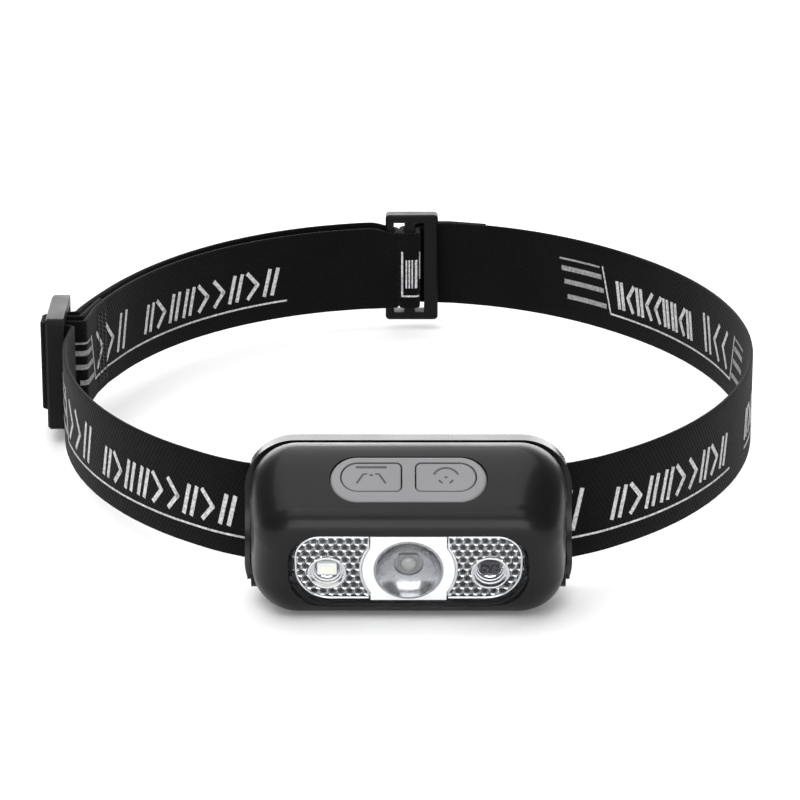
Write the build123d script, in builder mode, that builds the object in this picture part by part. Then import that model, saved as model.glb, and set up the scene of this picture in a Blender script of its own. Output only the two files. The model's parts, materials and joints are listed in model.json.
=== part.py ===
"""Headlamp: a tilting lamp housing on a bracket, worn on an adjustable elastic headband.

Frame: millimetres, +Z up, origin at the centre of the head loop at half the strap's height.
The lamp faces -Y and +X is on the right of somebody who looks at the lamp's face.
"""

import math
import os

from build123d import *

# ---- Head loop and strap ----
LOOP_A = 74.1  # half width of the worn loop, along X
LOOP_B = 87.8  # half length of the worn loop, along Y
STRAP_W = 20.0  # webbing height, along Z
STRAP_T = 1.0  # webbing thickness
LOOP_CORNERS = 40  # corners of the rounded polygon that stands for the whole ellipse

# ---- Bracket ----
BRACKET_W = 64.2
BRACKET_TOP = 15.8
BRACKET_BOTTOM = -12.0
BRACKET_BACK = -77.8  # forehead side
PLATE_T = 1.6
BAR_FRONT = -81.0  # outer strap bars stand forward of the plate
BAR_BACK = -79.7
RIM_FRONT = -82.0
RIM_T = 1.0
SLOT_IN = 24.3  # strap slots, distance from the middle plane
SLOT_OUT = 28.8
PLATE_CORNER_TOP = 10.0
PLATE_CORNER_BOTTOM = 5.0

# ---- Tilt hinge ----
HINGE_Y = -86.8
HINGE_Z = -9.8
HINGE_PIN_R = 1.5
HINGE_CLEARANCE = 0.06
EAR_R = 2.7
HINGE_REACH = 10.0  # depth in front of the bracket's rim that holds the ears
LUG_R = 3.0
KNUCKLE_R = 4.5  # lower rear edge of the housing, concentric with the hinge
PIN_IN = 28.7  # inner end of the pins, distance from the middle plane
LUG_IN = 27.0  # inner end of the hinge lugs, distance from the middle plane
LUG_OUT = 30.8  # their outer end, flush with the housing's side
SOCKET_OUT = 31.4
SOCKET_IN = 28.4

# ---- Housing ----
HOUSING_BACK = HINGE_Y + KNUCKLE_R
SEAM_Y = -86.5
WALL = 1.6
HOUSING_HALF_W = 30.8
FACE_TILT = 14.3  # the lamp face looks this far down at rest, degrees
FACE_Y = -99.6  # middle of the window on the face plane
FACE_Z = -5.25
FACE_TOP = 12.15  # upper and lower edge of the face, from its middle
FACE_BOTTOM = -11.7
FACE_HALF_W = 28.6
FACE_CORNER_R = 9.0
FACE_EDGE_R = 6.8
# top point and bottom point as (Y, Z), half width and corner radius of each section behind the face
SECTIONS = (
    ((HOUSING_BACK, 15.3), (HOUSING_BACK, -14.0), 30.5, 9.0),
    ((-87.0, 16.1), (-87.0, -14.6), HOUSING_HALF_W, 9.4),
    ((-93.2, 13.2), (-92.0, -16.0), 30.4, 9.4),
)
BELOW_ALL = -20.0  # a height under the whole lamp
BEHIND_LAMP = -75.0
SLOPE_ANGLE = 34.3  # fall of the sloping top that carries the keys, degrees
PAD_Y = -94.3
PAD_Z = 12.1

# ---- Window and light unit, in the face plane ----
WINDOW_W = 46.2
WINDOW_H = 16.9
WINDOW_TOP_R = 6.0
WINDOW_BOTTOM_R = 8.1
WINDOW_RECESS = 0.4
LENS_FLANGE = 1.4
UNIT_FRONT = -1.9  # front of the reflectors, below the face plane
MAIN_R = 6.75
MAIN_Y = -0.6  # the main reflector sits a little below the window's middle
MAIN_LAND_R = 9.0  # white land around the main reflector
LAND_EDGE = 7.4  # its straight edges above and below, distance from the middle plane
WELL_X = 15.8
WELL_Y = -1.4
WELL_R = 3.3
BOARD_FRONT = -4.9

# ---- Key pad, in the slope plane ----
PAD_L = 30.2
PAD_W = 10.6
PAD_RISE = 0.25
KEY_L = 11.5
KEY_W = 6.5
KEY_Y = 0.45  # the keys sit a little above the pad's middle
KEY_GAP = 2.9
KEY_GROOVE = 0.25
SWITCH_TOP = -3.6  # below the slope plane

# ---- Charging port in the bottom ----
PORT_X = 15.5
PORT_Y = -89.6
PORT_HINGE_X = 23.0
PORT_HINGE_Z = -14.25

# ---- Battery ----
BATTERY = (30.4, 6.2, 18.0)
BATTERY_CENTRE = (-5.0, -87.6, -2.5)

# ---- Screws ----
SCREW_SPOTS = ((-24.8, 9.8), (24.8, 9.8), (-23.2, -9.4), (23.2, -9.4))
SCREW_R = 1.0
SCREW_HEAD_R = 1.8
SCREW_HEAD_T = 1.4
BOSS_R = 2.1

# ---- Strap slider and strap ring ----
SLIDER_Y = 14.0
SLIDER_H = 25.4
SLIDER_L = 19.6
SLIDER_T = 4.0
RING_CENTRE_X = 1.15
RING_W = 12.5
RING_INNER_Y = 84.7
RING_T = 3.9
RING_H = 26.0
RING_SLOT_H = 22.2

tilt = math.radians(FACE_TILT)
slope = math.radians(SLOPE_ANGLE)
FACE = Plane(origin=(0, FACE_Y, FACE_Z), x_dir=(1, 0, 0), z_dir=(0, -math.cos(tilt), -math.sin(tilt)))
SLOPE = Plane(origin=(0, PAD_Y, PAD_Z), x_dir=(1, 0, 0), z_dir=(0, -math.sin(slope), math.cos(slope)))

os.makedirs("parts", exist_ok=True)


def save(piece, name):
    """Label a finished piece and write it under its node name."""
    piece.label = name
    export_step(piece, f"parts/{name}.step")


# ---------------------------------------------------------------- housing form
def section_plane(top, bottom):
    """The plane across the housing through a point of its top line and one of its bottom line."""
    lean = math.atan2(bottom[0] - top[0], top[1] - bottom[1])
    middle = (0, (top[0] + bottom[0]) / 2, (top[1] + bottom[1]) / 2)
    return Plane(origin=middle, x_dir=(1, 0, 0), z_dir=(0, -math.cos(lean), -math.sin(lean)))


def housing_form(inset):
    """The smooth outer body of the housing, or the same body shrunk by inset."""
    with BuildPart() as form:
        for top, bottom, half_w, corner in SECTIONS:
            height = math.dist(top, bottom)
            with BuildSketch(section_plane(top, bottom)):
                RectangleRounded(2 * (half_w - inset), height - 2 * inset, corner - inset)
        with BuildSketch(FACE.offset(-inset)):
            with Locations((0, (FACE_TOP + FACE_BOTTOM) / 2)):
                RectangleRounded(
                    2 * (FACE_HALF_W - inset), FACE_TOP - FACE_BOTTOM - 2 * inset, FACE_CORNER_R - inset
                )
        loft()
        front = form.faces().sort_by(Axis(FACE.origin, FACE.z_dir))[-1]
        fillet(front.edges(), FACE_EDGE_R - inset)
        if inset:
            split(bisect_by=Plane.XZ.offset(inset - HOUSING_BACK), keep=Keep.TOP)
        with BuildSketch(Plane.YZ):
            with BuildLine():
                Line((HINGE_Y, HINGE_Z - KNUCKLE_R + inset), (HINGE_Y, BELOW_ALL))
                Line((HINGE_Y, BELOW_ALL), (BEHIND_LAMP, BELOW_ALL))
                Line((BEHIND_LAMP, BELOW_ALL), (BEHIND_LAMP, HINGE_Z))
                Line((BEHIND_LAMP, HINGE_Z), (HOUSING_BACK - inset, HINGE_Z))
                CenterArc((HINGE_Y, HINGE_Z), KNUCKLE_R - inset, 0, -90)
            make_face()
        extrude(amount=2 * HOUSING_HALF_W, both=True, mode=Mode.SUBTRACT)
    return form.part


def window_outline(grow):
    """The window's outline, grown by grow: nearly straight top, deeply rounded lower corners."""
    half_w = WINDOW_W / 2 + grow
    half_h = WINDOW_H / 2 + grow
    with BuildSketch() as outline:
        Rectangle(2 * half_w, 2 * half_h)
        fillet(outline.vertices().group_by(Axis.Y)[-1], WINDOW_TOP_R + grow)
        fillet(outline.vertices().group_by(Axis.Y)[0], WINDOW_BOTTOM_R + grow)
    return outline.sketch


def key_outline(side, grow):
    """One key's outline: round outer end, small inner corners. side is -1 for left and 1 for right."""
    inner = KEY_GAP / 2 - grow
    outer = KEY_GAP / 2 + KEY_L + grow
    radius = KEY_W / 2 + grow
    with BuildSketch() as outline:
        with Locations((side * (inner + outer) / 2, KEY_Y)):
            Rectangle(outer - inner, 2 * radius)
        ends = outline.vertices().sort_by(Axis.X)
        outer_corners = ends[:2] if side < 0 else ends[-2:]
        fillet(outer_corners, radius - 0.05)
        ends = outline.vertices().sort_by(Axis.X)
        inner_corners = ends[-2:] if side < 0 else ends[:2]
        fillet(inner_corners, 1.0 + grow)
    return outline.sketch


OUTER = housing_form(0)
INNER = housing_form(WALL)


def seam_tool():
    """Everything behind the seam, with the two hinge lugs that reach forward of it."""
    with BuildPart() as tool:
        with Locations((0, SEAM_Y + 10, 0)):
            Box(80, 20, 60)
        for side in (-1, 1):
            with BuildSketch(Plane.YZ.offset(side * (LUG_IN - 0.2))):
                with Locations((HINGE_Y, HINGE_Z)):
                    Circle(LUG_R + 0.6)
            extrude(amount=side * (LUG_OUT - LUG_IN + 0.6))
    return tool.part


REAR_TOOL = seam_tool()

# ---------------------------------------------------------------- shell gasket
with BuildPart() as shell_gasket:
    with BuildSketch(Plane.XZ.offset(-SEAM_Y)):
        with Locations((0, 0.85)):
            RectangleRounded(60.4, 29.2, 8.8)
            RectangleRounded(59.2, 28.0, 8.2, mode=Mode.SUBTRACT)
        for side in (-1, 1):
            with Locations((side * 29.0, HINGE_Z)):
                Rectangle(4.8, 7.4, mode=Mode.SUBTRACT)
            with Locations((side * 26.3, -9.0)):
                Rectangle(0.6, 6.4)
            with Locations((side * 28.0, -5.9)):
                Rectangle(4.0, 0.6)
    extrude(amount=0.4, both=True)
save(shell_gasket.part, "shell_gasket")

# ---------------------------------------------------------------- rear shell
with BuildPart() as rear_shell:
    add(OUTER)
    add(INNER, mode=Mode.SUBTRACT)
    add(REAR_TOOL, mode=Mode.INTERSECT)
    for side in (-1, 1):
        with BuildSketch(Plane.YZ.offset(side * LUG_IN)):
            with Locations((HINGE_Y, HINGE_Z)):
                Circle(LUG_R)
        extrude(amount=side * (LUG_OUT - LUG_IN))
        with BuildSketch(Plane.YZ.offset(side * SOCKET_IN)):
            with Locations((HINGE_Y, HINGE_Z)):
                Circle(HINGE_PIN_R + HINGE_CLEARANCE)
        extrude(amount=side * (SOCKET_OUT - SOCKET_IN), mode=Mode.SUBTRACT)
    with BuildSketch(Plane.XZ.offset(-HOUSING_BACK)):
        with Locations(*SCREW_SPOTS):
            Circle(BOSS_R)
    extrude(amount=HOUSING_BACK - SEAM_Y)
    with BuildSketch(Plane.XZ.offset(-HOUSING_BACK)):
        with Locations(*SCREW_SPOTS):
            Circle(SCREW_HEAD_R + 0.1)
    extrude(amount=SCREW_HEAD_T + 0.1, mode=Mode.SUBTRACT)
    with BuildSketch(Plane.XZ.offset(-HOUSING_BACK)):
        with Locations(*SCREW_SPOTS):
            Circle(SCREW_R + 0.1)
    extrude(amount=10, mode=Mode.SUBTRACT)
    add(shell_gasket.part, mode=Mode.SUBTRACT)
save(rear_shell.part, "rear_shell")

# ---------------------------------------------------------------- front shell
with BuildPart() as front_shell:
    add(OUTER)
    add(INNER, mode=Mode.SUBTRACT)
    add(REAR_TOOL, mode=Mode.SUBTRACT)
    # screw bosses
    with BuildSketch(Plane.XZ.offset(-SEAM_Y)):
        with Locations(*SCREW_SPOTS):
            Circle(BOSS_R)
            Circle(SCREW_R - 0.15, mode=Mode.SUBTRACT)
    extrude(amount=6.0)
    # ribs that tie the lower bosses to the bottom wall
    with Locations((-23.2, SEAM_Y - 3.0, -12.3), (23.2, SEAM_Y - 3.0, -12.3)):
        Box(1.4, 6.0, 3.4)
    # port boss and recess
    with Locations((PORT_X + 0.9, PORT_Y - 0.2, -13.2)):
        Box(15.6, 5.6, 2.2)
    with Locations((PORT_X + 0.95, PORT_Y, PORT_HINGE_Z - 0.5)):
        Box(14.9, 5.2, 2.5, mode=Mode.SUBTRACT)
    with BuildSketch(Plane.XY.offset(-16)):
        with Locations((PORT_X, PORT_Y)):
            SlotOverall(9.2, 3.4)
    extrude(amount=6, mode=Mode.SUBTRACT)
    # window opening
    with BuildSketch(FACE.offset(1)):
        add(window_outline(0.15))
    extrude(amount=-4, mode=Mode.SUBTRACT)
    # seat for the lens flange and its gasket, behind the wall
    with BuildSketch(FACE.offset(-WALL)):
        add(window_outline(LENS_FLANGE + 0.1))
    extrude(amount=-1.6, mode=Mode.SUBTRACT)
    # key pad opening
    with BuildSketch(SLOPE.offset(3)):
        SlotOverall(PAD_L + 0.3, PAD_W + 0.3)
    extrude(amount=-7, mode=Mode.SUBTRACT)
    add(shell_gasket.part, mode=Mode.SUBTRACT)
save(front_shell.part, "front_shell")

# ---------------------------------------------------------------- screws
with BuildPart() as housing_screws:
    with BuildSketch(Plane.XZ.offset(-HOUSING_BACK + 0.05)):
        with Locations(*SCREW_SPOTS):
            Circle(SCREW_HEAD_R)
    extrude(amount=SCREW_HEAD_T)
    with BuildSketch(Plane.XZ.offset(-HOUSING_BACK + SCREW_HEAD_T)):
        with Locations(*SCREW_SPOTS):
            Circle(SCREW_R - 0.2)
    extrude(amount=7.6)
    with BuildSketch(Plane.XZ.offset(-HOUSING_BACK)):
        with Locations(*SCREW_SPOTS):
            Rectangle(2.2, 0.5)
            Rectangle(0.5, 2.2)
    extrude(amount=0.8, mode=Mode.SUBTRACT)
save(housing_screws.part, "housing_screws")

# ---------------------------------------------------------------- window lens and its gasket
with BuildPart() as front_lens:
    with BuildSketch(FACE.offset(-2.0)):
        add(window_outline(LENS_FLANGE))
    extrude(amount=-0.8)
    with BuildSketch(FACE.offset(-2.0)):
        add(window_outline(0))
    extrude(amount=2.0 - WINDOW_RECESS)
    with BuildSketch(FACE.offset(-2.8)):
        add(window_outline(-0.6))
    extrude(amount=1.2, mode=Mode.SUBTRACT)
    fillet(front_lens.faces().sort_by(Axis(FACE.origin, FACE.z_dir))[-1].edges(), 0.3)
save(front_lens.part, "front_lens")

with BuildPart() as lens_gasket:
    with BuildSketch(FACE.offset(-WALL)):
        add(window_outline(LENS_FLANGE))
        add(window_outline(0.1), mode=Mode.SUBTRACT)
    extrude(amount=-0.4)
save(lens_gasket.part, "lens_gasket")


# ---------------------------------------------------------------- light unit
def side_field(side, grow):
    """The area of a side reflector: the window outside the land around the main reflector."""
    with BuildSketch() as field:
        add(window_outline(-0.8 + grow))
        with Locations((side * (LAND_EDGE - grow - 30), 0)):
            Rectangle(60, 30, mode=Mode.SUBTRACT)
        with Locations((0, MAIN_Y)):
            Circle(MAIN_LAND_R - grow, mode=Mode.SUBTRACT)
        near = field.vertices().sort_by(Axis.X)
        tips = near[:4] if side > 0 else near[-4:]
        fillet([v for v in tips if abs(v.Y) < 6.8], 0.7)
    return field.sketch


with BuildPart() as trim_plate:
    with BuildSketch(FACE.offset(UNIT_FRONT)):
        add(window_outline(-0.8))
        for side in (-1, 1):
            add(side_field(side, 0.05), mode=Mode.SUBTRACT)
        with Locations((0, MAIN_Y)):
            Circle(MAIN_R + 0.05, mode=Mode.SUBTRACT)
    extrude(amount=-1.0)
save(trim_plate.part, "trim_plate")

for side, name in ((-1, "left_reflector"), (1, "right_reflector")):
    with BuildPart() as side_reflector:
        with BuildSketch(FACE.offset(UNIT_FRONT - 0.2)):
            add(side_field(side, 0))
        extrude(amount=-1.2)
        with BuildSketch(FACE.offset(UNIT_FRONT - 1.0)):
            with Locations((side * WELL_X, WELL_Y)):
                Circle(WELL_R + 0.5)
        extrude(amount=BOARD_FRONT + 0.1 - UNIT_FRONT + 1.0)
        with BuildSketch(FACE.offset(UNIT_FRONT)):
            with Locations((side * WELL_X, WELL_Y)):
                Circle(WELL_R)
        extrude(amount=-5, mode=Mode.SUBTRACT)
    save(side_reflector.part, name)

MAIN_FACE = Plane(origin=FACE.from_local_coords(Vector(0, MAIN_Y, 0)), x_dir=FACE.x_dir, z_dir=FACE.z_dir)

with BuildPart() as main_reflector:
    with BuildSketch(Plane(origin=MAIN_FACE.origin, x_dir=MAIN_FACE.x_dir, z_dir=-MAIN_FACE.y_dir)):
        with BuildLine():
            Line((2.9, BOARD_FRONT + 0.7), (2.9, BOARD_FRONT + 0.1))
            Line((2.9, BOARD_FRONT + 0.1), (3.6, BOARD_FRONT + 0.1))
            TangentArc((3.6, BOARD_FRONT + 0.1), (MAIN_R, UNIT_FRONT - 0.8), tangent=(1.0, 0.3))
            Line((MAIN_R, UNIT_FRONT - 0.8), (MAIN_R, UNIT_FRONT))
            Line((MAIN_R, UNIT_FRONT), (MAIN_R - 0.4, UNIT_FRONT))
            TangentArc((2.9, BOARD_FRONT + 0.7), (MAIN_R - 0.4, UNIT_FRONT), tangent=(1.0, 0.25))
        make_face()
    revolve(axis=Axis(MAIN_FACE.origin, MAIN_FACE.z_dir))
save(main_reflector.part, "main_reflector")

with BuildPart() as main_led:
    with BuildSketch(MAIN_FACE.offset(BOARD_FRONT)):
        RectangleRounded(3.8, 3.8, 0.4)
    extrude(amount=0.6)
    with Locations(MAIN_FACE.offset(BOARD_FRONT + 0.6)):
        Cylinder(1.55, 0.4, align=(Align.CENTER, Align.CENTER, Align.MIN))
    fillet(main_led.faces().sort_by(Axis(FACE.origin, FACE.z_dir))[-1].edges(), 0.35)
save(main_led.part, "main_led")

with BuildPart() as side_led:
    with BuildSketch(FACE.offset(BOARD_FRONT)):
        with Locations((-WELL_X, WELL_Y - 0.6)):
            RectangleRounded(3.5, 2.8, 0.3)
    extrude(amount=0.9)
    with BuildSketch(FACE.offset(BOARD_FRONT + 0.9)):
        with Locations((-WELL_X, WELL_Y - 0.6)):
            SlotOverall(3.0, 2.2)
    extrude(amount=0.4)
save(side_led.part, "side_led")

with BuildPart() as motion_sensor:
    with BuildSketch(FACE.offset(BOARD_FRONT)):
        with Locations((WELL_X, WELL_Y - 0.6)):
            RectangleRounded(3.6, 2.6, 0.3)
    extrude(amount=0.9)
    with BuildSketch(FACE.offset(BOARD_FRONT + 0.9)):
        with Locations((WELL_X - 0.9, WELL_Y - 0.6), (WELL_X + 0.9, WELL_Y - 0.6)):
            Circle(0.7)
    extrude(amount=0.4)
save(motion_sensor.part, "motion_sensor")

with BuildPart() as led_board:
    with BuildSketch(FACE.offset(BOARD_FRONT)):
        with Locations((0, 0.5)):
            RectangleRounded(43.0, 11.0, 1.0)
        with Locations((-10.5, 4.4), (10.5, 4.4)):
            Circle(0.8, mode=Mode.SUBTRACT)
    extrude(amount=-0.8)
save(led_board.part, "led_board")

# ---------------------------------------------------------------- key pad, keys and their switches
with BuildPart() as button_pad:
    with BuildSketch(SLOPE.offset(PAD_RISE)):
        SlotOverall(PAD_L, PAD_W)
    extrude(amount=-3.0)
    fillet(button_pad.faces().sort_by(Axis(SLOPE.origin, SLOPE.z_dir))[-1].edges(), 0.6)
    with BuildSketch(SLOPE.offset(-2.1)):
        SlotOverall(PAD_L + 1.6, PAD_W + 1.6)
    extrude(amount=-0.65)
    with BuildSketch(SLOPE.offset(2)):
        for side in (-1, 1):
            add(key_outline(side, KEY_GROOVE))
    extrude(amount=-6, mode=Mode.SUBTRACT)
save(button_pad.part, "button_pad")

KEY_X = (KEY_GAP + KEY_L) / 2
for side, name in ((-1, "mode_key"), (1, "sensor_key")):
    with BuildPart() as key:
        with BuildSketch(SLOPE.offset(PAD_RISE)):
            add(key_outline(side, 0))
        extrude(amount=-1.7)
        fillet(key.faces().sort_by(Axis(SLOPE.origin, SLOPE.z_dir))[-1].edges(), 0.3)
        with BuildSketch(SLOPE.offset(-1.4)):
            with Locations((side * KEY_X, 0)):
                Circle(1.6)
        extrude(amount=SWITCH_TOP + 0.5 + 1.4)
    save(key.part, name)

for side, name in ((-1, "mode_switch_plunger"), (1, "sensor_switch_plunger")):
    with BuildPart() as plunger:
        with BuildSketch(SLOPE.offset(SWITCH_TOP + 0.5)):
            with Locations((side * KEY_X, 0)):
                Circle(1.0)
        extrude(amount=-0.9)
    save(plunger.part, name)

with BuildPart() as tact_switches:
    with BuildSketch(SLOPE.offset(SWITCH_TOP)):
        with Locations((-KEY_X, 0), (KEY_X, 0)):
            RectangleRounded(4.5, 4.5, 0.4)
    extrude(amount=-1.4)
    with BuildSketch(SLOPE.offset(SWITCH_TOP)):
        with Locations((-KEY_X, 0), (KEY_X, 0)):
            Circle(1.05)
    extrude(amount=-1.1, mode=Mode.SUBTRACT)
save(tact_switches.part, "tact_switches")

with BuildPart() as key_board:
    with BuildSketch(SLOPE.offset(SWITCH_TOP - 1.4)):
        RectangleRounded(32.0, 6.2, 0.8)
    extrude(amount=-0.8)
save(key_board.part, "key_board")

# ---------------------------------------------------------------- charging port
with BuildPart() as charge_board:
    with Locations((PORT_X - 0.1, PORT_Y + 1.95, -3.4)):
        Box(9.6, 0.7, 15.6)
save(charge_board.part, "charge_board")

with BuildPart() as usb_socket:
    with Locations((PORT_X, PORT_Y, -8.35)):
        Box(8.94, 3.2, 7.3)
    fillet(usb_socket.edges().filter_by(Axis.Z), 1.2)
    with BuildSketch(Plane.XY.offset(-12.0)):
        with Locations((PORT_X, PORT_Y)):
            SlotOverall(8.34, 2.56)
    extrude(amount=6.2, mode=Mode.SUBTRACT)
    with Locations((PORT_X, PORT_Y, -8.2)):
        Box(6.7, 0.7, 5.2)
save(usb_socket.part, "usb_socket")

with BuildPart() as port_cover:
    with Locations((PORT_X + 0.65, PORT_Y, PORT_HINGE_Z)):
        Box(13.7, 4.8, 1.0)
    with Locations((PORT_HINGE_X, PORT_Y, PORT_HINGE_Z)):
        Cylinder(0.5, 4.8, rotation=(90, 0, 0))
    fillet(port_cover.edges().filter_by(Axis.Z).group_by(Axis.X)[0], 1.5)
    with BuildSketch(Plane.XY.offset(PORT_HINGE_Z + 0.5)):
        with Locations((PORT_X, PORT_Y)):
            SlotOverall(7.4, 2.1)
    extrude(amount=1.6)
save(port_cover.part, "port_cover")

# ---------------------------------------------------------------- battery and wiring
with BuildPart() as battery_cell:
    with Locations(BATTERY_CENTRE):
        Box(*BATTERY)
    fillet(battery_cell.edges().filter_by(Axis.Z), 1.5)
    fillet(battery_cell.edges().filter_by(Axis.X), 0.5)
save(battery_cell.part, "battery_cell")

with BuildPart() as battery_foam:
    with Locations((BATTERY_CENTRE[0], BATTERY_CENTRE[1] + BATTERY[1] / 2 + 0.25, BATTERY_CENTRE[2])):
        Box(26.0, 0.5, 14.0)
save(battery_foam.part, "battery_foam")

with BuildPart() as battery_leads:
    for x in (12.4, 14.2):
        with BuildLine() as lead:
            FilletPolyline((10.25, -85.6, x - 13.0), (x, -85.6, x - 13.0), (x, -87.25, x - 13.0), radius=0.7)
        with BuildSketch(Plane(origin=lead.line @ 0, z_dir=lead.line % 0)):
            Circle(0.45)
        sweep(path=lead.line)
save(battery_leads.part, "battery_leads")

# ---------------------------------------------------------------- bracket
with BuildPart() as lamp_bracket:
    middle_z = (BRACKET_TOP + BRACKET_BOTTOM) / 2
    height = BRACKET_TOP - BRACKET_BOTTOM
    with BuildSketch(Plane.XZ.offset(-BRACKET_BACK)) as outline:
        with Locations((0, middle_z)):
            Rectangle(BRACKET_W, height)
        fillet(outline.vertices().group_by(Axis.Y)[-1], PLATE_CORNER_TOP)
        fillet(outline.vertices().group_by(Axis.Y)[0], PLATE_CORNER_BOTTOM)
    extrude(amount=BRACKET_BACK - RIM_FRONT)
    fillet(lamp_bracket.faces().sort_by(Axis.Y)[-1].edges(), 0.8)
    with BuildSketch(Plane.XZ.offset(-RIM_FRONT)) as hollow:
        add(outline.sketch)
        offset(amount=-RIM_T, mode=Mode.REPLACE)
    extrude(amount=-(BRACKET_BACK - PLATE_T - RIM_FRONT), mode=Mode.SUBTRACT)
    # strap recesses, open to both sides, and the slots through the plate
    for side in (-1, 1):
        with Locations((side * (SLOT_IN + 10), -78.0, 0)):
            Box(20, 2 * (-78.0 - BAR_BACK), STRAP_W + 1.4, mode=Mode.SUBTRACT)
        with BuildSketch(Plane.XZ.offset(-BAR_BACK)):
            add(outline.sketch)
            with Locations((side * (SLOT_OUT + BRACKET_W / 2) / 2, middle_z)):
                Rectangle(BRACKET_W / 2 - SLOT_OUT, 40, mode=Mode.INTERSECT)
        extrude(amount=BAR_BACK - BAR_FRONT)
    # ears with their pins
    for side in (-1, 1):
        with BuildSketch(Plane.YZ.offset(side * (BRACKET_W / 2 - RIM_T))):
            with BuildLine():
                Line((RIM_FRONT + 1.0, 5.0), (RIM_FRONT, 5.0))
                TangentArc((RIM_FRONT, 5.0), (HINGE_Y - EAR_R, HINGE_Z), tangent=(0, -1))
                RadiusArc((HINGE_Y - EAR_R, HINGE_Z), (HINGE_Y, HINGE_Z - EAR_R), -EAR_R)
                Line((HINGE_Y, HINGE_Z - EAR_R), (RIM_FRONT + 1.0, -9.5))
                Line((RIM_FRONT + 1.0, -9.5), (RIM_FRONT + 1.0, 5.0))
            make_face()
        extrude(amount=side * RIM_T)
    # the ears' lower outer corners follow the plate's round corners
    with BuildSketch(Plane.XZ.offset(-RIM_FRONT)) as below_ears:
        with Locations((0, middle_z)):
            Rectangle(2 * BRACKET_W, 2 * height)
        with BuildSketch(mode=Mode.PRIVATE) as ear_outline:
            with Locations((0, middle_z)):
                Rectangle(BRACKET_W, 2 * (middle_z - HINGE_Z + EAR_R))
            fillet(ear_outline.vertices().group_by(Axis.Y)[0], PLATE_CORNER_BOTTOM)
        add(ear_outline.sketch, mode=Mode.SUBTRACT)
    extrude(amount=HINGE_REACH, mode=Mode.SUBTRACT)
    for side in (-1, 1):
        with BuildSketch(Plane.YZ.offset(side * PIN_IN)):
            with Locations((HINGE_Y, HINGE_Z)):
                Circle(HINGE_PIN_R)
        extrude(amount=side * (BRACKET_W / 2 - RIM_T / 2 - PIN_IN))
save(lamp_bracket.part, "lamp_bracket")


# ---------------------------------------------------------------- strap buckles
SLIDER_X = -LOOP_A * math.sqrt(1 - (SLIDER_Y / LOOP_B) ** 2)
SLIDER = Plane(origin=(SLIDER_X, SLIDER_Y, 0), x_dir=(0, 1, 0), z_dir=(-1, 0, 0))
SLIDER_BACK = 1.7  # the slider's head side stands this far out of the strap's line
END_BAR_W = 2.2
CENTRE_BAR_W = 2.4
CENTRE_BAR = (3.0, 5.2)  # head side and outer side of the slider's middle bar
SLIDER_SLOT_H = STRAP_W + 1.2

with BuildPart() as strap_slider:
    slot_w = SLIDER_L / 2 - END_BAR_W - CENTRE_BAR_W / 2
    with BuildSketch(SLIDER.offset(SLIDER_BACK)):
        RectangleRounded(SLIDER_L, SLIDER_H, 1.2)
        with Locations((-(CENTRE_BAR_W + slot_w) / 2, 0), ((CENTRE_BAR_W + slot_w) / 2, 0)):
            Rectangle(slot_w, SLIDER_SLOT_H, mode=Mode.SUBTRACT)
    extrude(amount=SLIDER_T)
    chamfer(strap_slider.faces().sort_by(Axis(SLIDER.origin, SLIDER.z_dir))[-1].outer_wire().edges(), 0.5)
    with BuildSketch(SLIDER.offset(SLIDER_BACK)):
        Rectangle(CENTRE_BAR_W, SLIDER_SLOT_H)
    extrude(amount=CENTRE_BAR[0] - SLIDER_BACK, mode=Mode.SUBTRACT)
    with BuildSketch(SLIDER.offset(CENTRE_BAR[1])):
        Rectangle(CENTRE_BAR_W, SLIDER_SLOT_H)
    extrude(amount=2.0, mode=Mode.SUBTRACT)
save(strap_slider.part, "strap_slider")

RING_LEFT = RING_CENTRE_X - RING_W / 2
RING_BARS = (2.0, 2.5, 3.3)  # left, middle and right bar widths
RING_SLOTS = (2.5, 2.2)
SLOT_1 = RING_LEFT + RING_BARS[0]
MIDDLE_BAR = SLOT_1 + RING_SLOTS[0]
SLOT_2 = MIDDLE_BAR + RING_BARS[1]
RING_OUTER_Y = RING_INNER_Y + RING_T

with BuildPart() as strap_ring:
    with BuildSketch(Plane.XZ.offset(-RING_INNER_Y)):
        with Locations((RING_CENTRE_X, 0)):
            RectangleRounded(RING_W, RING_H, 1.0)
        for left, width in zip((SLOT_1, SLOT_2), RING_SLOTS):
            with Locations((left + width / 2, 0)):
                Rectangle(width, RING_SLOT_H, mode=Mode.SUBTRACT)
    extrude(amount=-RING_T)
    chamfer(strap_ring.faces().sort_by(Axis.Y)[0].outer_wire().edges(), 0.4)
    chamfer(strap_ring.faces().sort_by(Axis.Y)[-1].outer_wire().edges(), 0.4)
save(strap_ring.part, "strap_ring")


# ---------------------------------------------------------------- strap
LAYER = STRAP_T / 2 + 0.15  # from a bar's face to the middle of the strap that wraps it
TIGHT_R = 0.9  # bend of the strap's middle line around a bar
SOFT_R = 500.0


def on_loop(angle, out):
    """A point of the worn loop at a polar parameter in degrees from +X, moved outward by out."""
    c, s = math.cos(math.radians(angle)), math.sin(math.radians(angle))
    normal = Vector(c / LOOP_A, s / LOOP_B).normalized()
    return (LOOP_A * c + out * normal.X, LOOP_B * s + out * normal.Y)


def along_loop(start, end, out_start, out_end, hold=0.0):
    """Evenly spaced loop points between two parameters.

    The outward offset keeps its first value for the part of the way given by hold, then eases to the last.
    """
    count = max(2, round(abs(end - start) / (360 / LOOP_CORNERS)))
    points = []
    for i in range(count + 1):
        part = i / count
        after = max(0.0, (part - hold) / (1 - hold))
        ease = after * after * (3 - 2 * after)
        points.append(on_loop(start + (end - start) * part, out_start + (out_end - out_start) * ease))
    return points


def at_slider(u, w):
    """A point in the slider's own frame: u rearward along the strap, w outward."""
    place = SLIDER.from_local_coords(Vector(u, 0, w))
    return (place.X, place.Y)


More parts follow.
